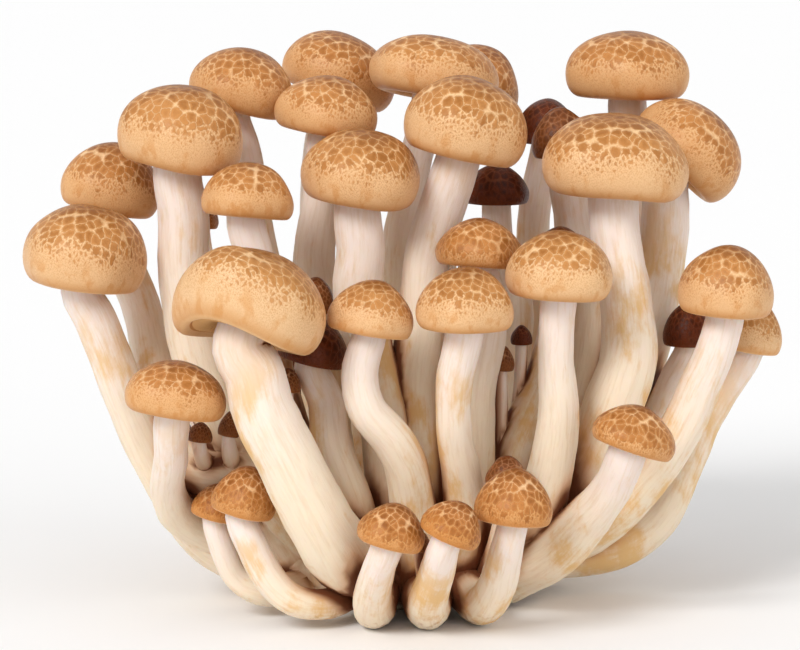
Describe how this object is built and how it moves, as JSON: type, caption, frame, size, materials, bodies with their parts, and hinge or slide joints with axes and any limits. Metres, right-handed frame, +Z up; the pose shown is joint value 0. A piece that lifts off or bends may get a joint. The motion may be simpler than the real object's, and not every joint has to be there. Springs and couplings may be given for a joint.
{
  "type": "beech mushroom cluster",
  "caption": "Bunch of small brown-capped beech mushrooms on pale fleshy stems, grown together on a common base that is cut flat so that the bunch stands on it.",
  "frame": {"origin": "middle of the bounding box's footprint, on the flat cut face at z = 0 that the bunch stands on", "axes": "+X runs across the broad front to the right, +Y from the front to the back, +Z up, with the stems"},
  "size_m": [0.1206, 0.0943, 0.0894],
  "materials": {
    "cap_tan": "satin",
    "cap_dark": "satin",
    "stem": "matte"
  },
  "bodies": {
    "root": {"cap_left_1": "cap_tan", "cap_left_2": "cap_tan", "cap_left_3": "cap_tan", "cap_left_4": "cap_tan", "cap_left_5": "cap_tan", "cap_left_6": "cap_dark", "cap_top_1": "cap_tan", "cap_top_2": "cap_tan", "cap_top_3": "cap_tan", "cap_top_4": "cap_tan", "cap_top_5": "cap_tan", "cap_top_6": "cap_tan", "cap_top_7": "cap_dark", "cap_top_8": "cap_dark", "cap_top_9": "cap_dark", "cap_right_1": "cap_tan", "cap_right_2": "cap_tan", "cap_right_3": "cap_tan", "cap_right_4": "cap_tan", "cap_right_5": "cap_tan", "cap_right_6": "cap_dark", "cap_front_1": "cap_tan", "cap_front_2": "cap_tan", "cap_front_3": "cap_tan", "cap_front_4": "cap_tan", "cap_front_5": "cap_tan", "cap_front_6": "cap_tan", "cap_front_7": "cap_tan", "cap_front_8": "cap_tan", "cap_front_9": "cap_tan", "cap_front_10": "cap_tan", "cap_front_11": "cap_tan", "cap_front_12": "cap_tan", "cap_inner_1": "cap_dark", "cap_inner_2": "cap_dark", "cap_inner_3": "cap_dark", "cap_inner_4": "cap_dark", "cap_inner_5": "cap_dark", "cap_inner_6": "cap_dark", "cap_inner_7": "cap_dark", "cap_inner_8": "cap_dark", "cap_inner_9": "cap_dark", "cap_inner_10": "cap_dark", "cap_back_1": "cap_tan", "cap_back_2": "cap_tan", "cap_back_3": "cap_tan", "cap_back_4": "cap_tan", "cap_back_5": "cap_tan", "cap_back_6": "cap_tan", "cap_back_7": "cap_tan", "cap_back_8": "cap_tan", "cap_back_9": "cap_tan", "stems": "stem"}
  },
  "joints": []
}
